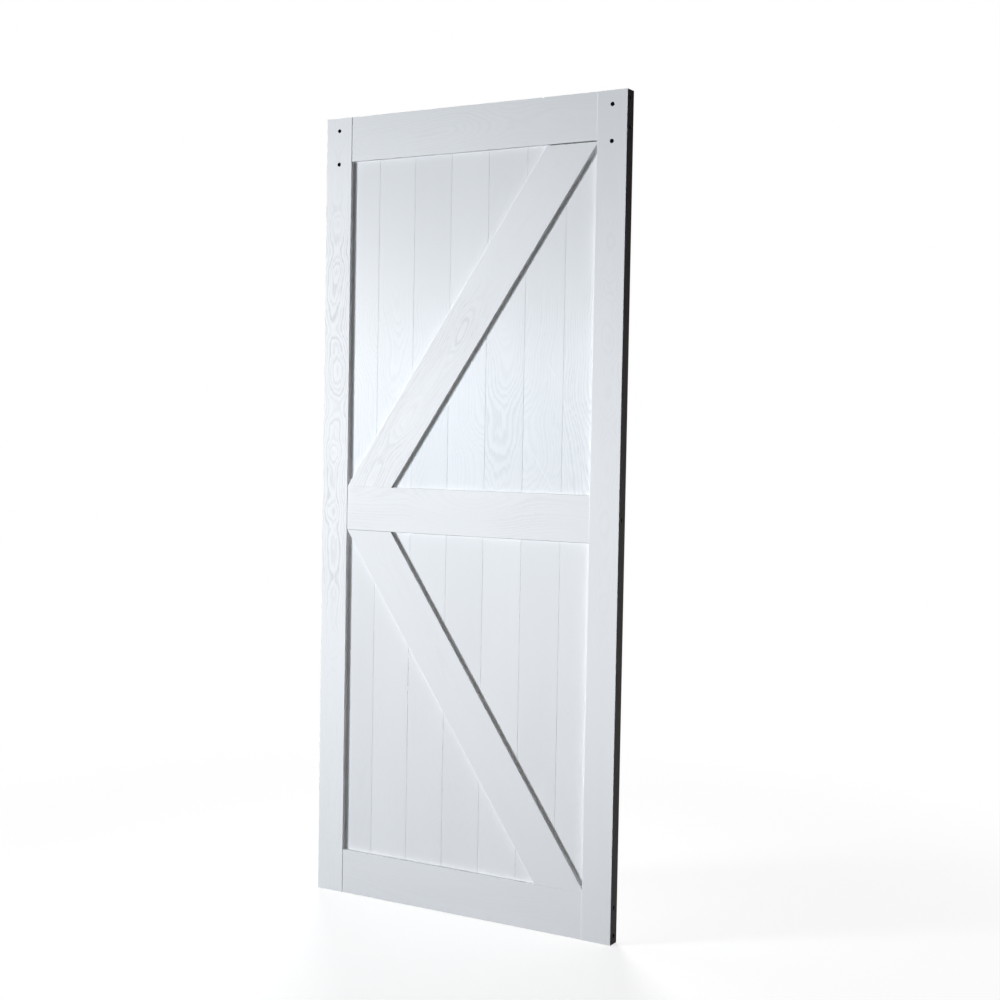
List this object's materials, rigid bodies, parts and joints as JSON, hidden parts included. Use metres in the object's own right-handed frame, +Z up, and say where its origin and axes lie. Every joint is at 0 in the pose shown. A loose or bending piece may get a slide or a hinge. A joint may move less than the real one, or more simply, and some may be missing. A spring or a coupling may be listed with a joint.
{
  "type": "sliding barn door leaf",
  "caption": "Framed plank door leaf with stiles, rails and diagonal braces over tongue and groove boards, bored at the head for sliding track hangers.",
  "frame": {"origin": "middle of the leaf's foot, half way through its thickness", "axes": "+Z up along the stiles, +X to the right seen from the braced face, -Y out of the braced face"},
  "size_m": [0.9144, 0.035, 2.1336],
  "materials": {
    "frame_white": "satin white with pressed wood grain",
    "brace_white": "satin white with pressed wood grain",
    "board_white": "satin white with pressed wood grain",
    "screw_zinc": "zinc plated"
  },
  "bodies": {
    "root": {"left_stile": "frame_white", "right_stile": "frame_white", "top_rail": "frame_white", "middle_rail": "frame_white", "bottom_rail": "frame_white", "upper_brace": "brace_white", "lower_brace": "brace_white", "upper_board_1": "board_white", "upper_board_2": "board_white", "upper_board_3": "board_white", "upper_board_4": "board_white", "upper_board_5": "board_white", "upper_board_6": "board_white", "upper_board_7": "board_white", "lower_board_1": "board_white", "lower_board_2": "board_white", "lower_board_3": "board_white", "lower_board_4": "board_white", "lower_board_5": "board_white", "lower_board_6": "board_white", "lower_board_7": "board_white", "left_connecting_screws": "screw_zinc", "right_connecting_screws": "screw_zinc", "upper_brace_screws": "screw_zinc", "lower_brace_screws": "screw_zinc"}
  },
  "joints": []
}
